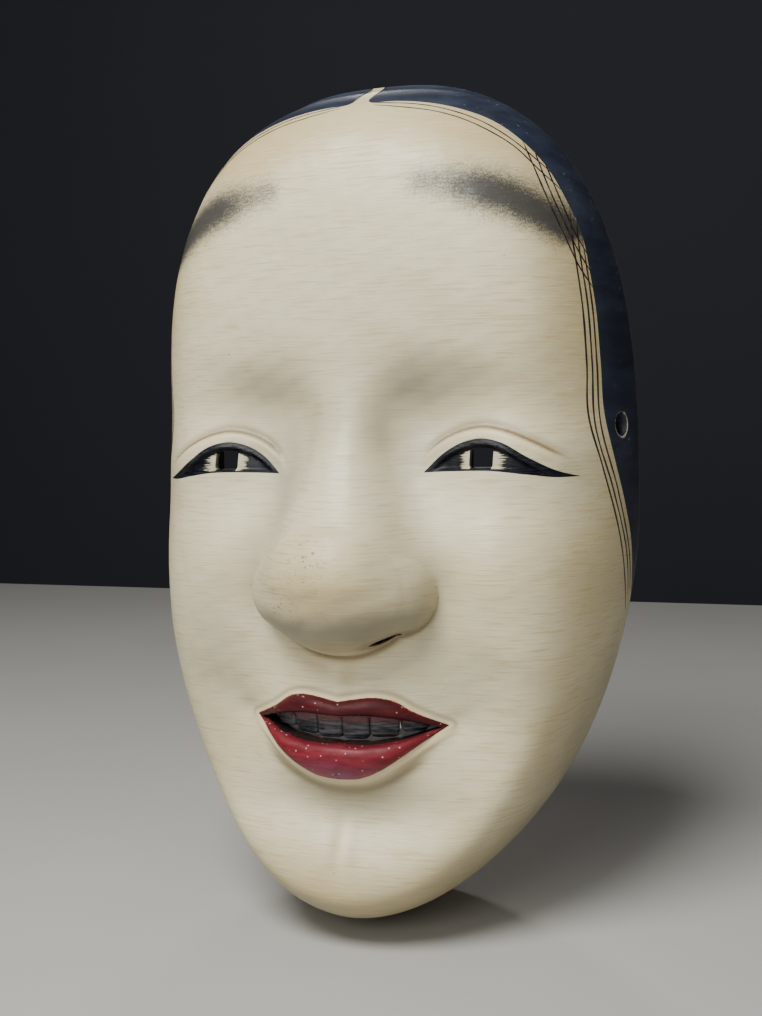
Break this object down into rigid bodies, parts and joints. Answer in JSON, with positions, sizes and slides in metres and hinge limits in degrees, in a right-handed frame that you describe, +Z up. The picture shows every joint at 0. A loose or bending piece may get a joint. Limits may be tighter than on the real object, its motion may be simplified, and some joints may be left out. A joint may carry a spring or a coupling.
{
  "type": "noh mask",
  "caption": "Hollow carved wooden mask of a young woman's face, white-coated, with pierced pupils, an open mouth slit and a cord hole in each side.",
  "frame": {"origin": "midway between the two cord holes, in the plane of the flat back rim", "axes": "+Z up the face to the crown, -Y out of the face towards the viewer, +Y out of the open back, +X to the mask's own left"},
  "size_m": [0.1348, 0.0672, 0.2225],
  "materials": {
    "cypress": "carved cypress, stained brown behind, visible gouge marks",
    "white_ground": "shell-white ground, satin, brushed in fine level strokes, yellowed at the edges",
    "ink_black": "blue-black ink over the ground, matte",
    "eye_black": "blue-black ink, brushed thin beside the pupil",
    "dark_red": "dark red paint, satin",
    "rouge_red": "rouge red paint, satin",
    "tooth_black": "blackened teeth, brushed grey on black"
  },
  "bodies": {
    "root": {"wood_body": "cypress", "face_coat": "white_ground", "hair_coat_left": "ink_black", "hair_coat_right": "ink_black", "eye_coat_left": "eye_black", "eye_coat_right": "eye_black", "upper_lip_coat": "dark_red", "lower_lip_coat": "rouge_red", "tooth_row": "tooth_black"}
  },
  "joints": []
}
